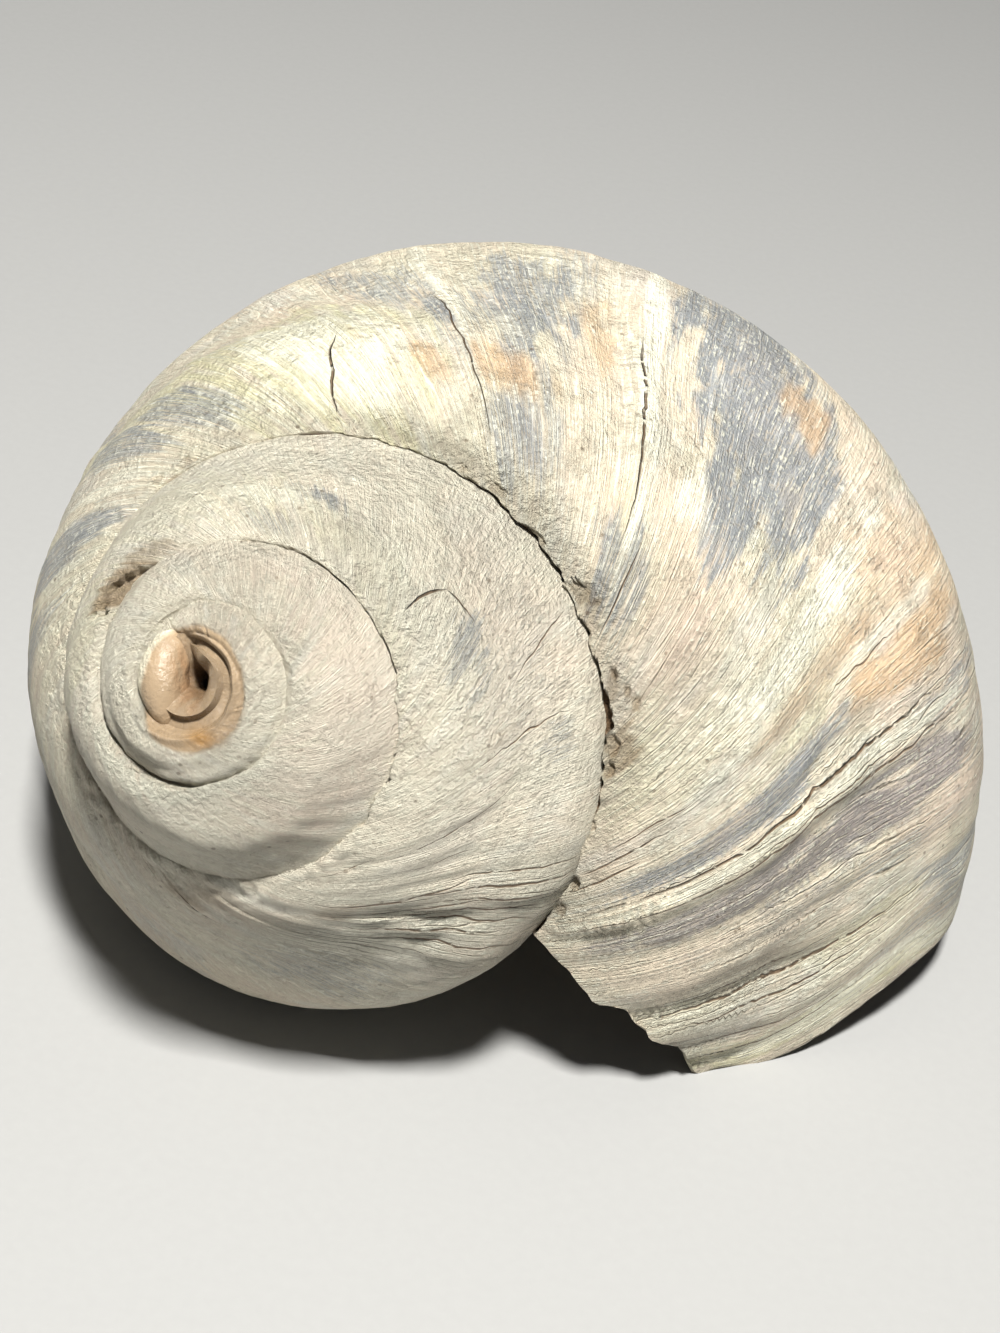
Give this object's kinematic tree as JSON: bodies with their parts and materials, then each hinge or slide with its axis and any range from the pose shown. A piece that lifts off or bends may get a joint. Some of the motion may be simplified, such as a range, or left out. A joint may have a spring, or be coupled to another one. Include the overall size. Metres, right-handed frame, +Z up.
{
  "type": "moon snail shell",
  "caption": "Large empty sea snail shell, low spired and round, lying on its open mouth, worn by sand and surf.",
  "frame": {"origin": "middle of the box that the shell fills, on the surface it lies on", "axes": "+Z up, with the aperture down; -Y towards the viewer, who sees the spire on the left; +X towards the outer lip"},
  "size_m": [0.0952, 0.0812, 0.061],
  "materials": {
    "shell": "chalky, beach-worn calcium carbonate shell"
  },
  "bodies": {
    "root": {"shell": "shell"}
  },
  "joints": []
}
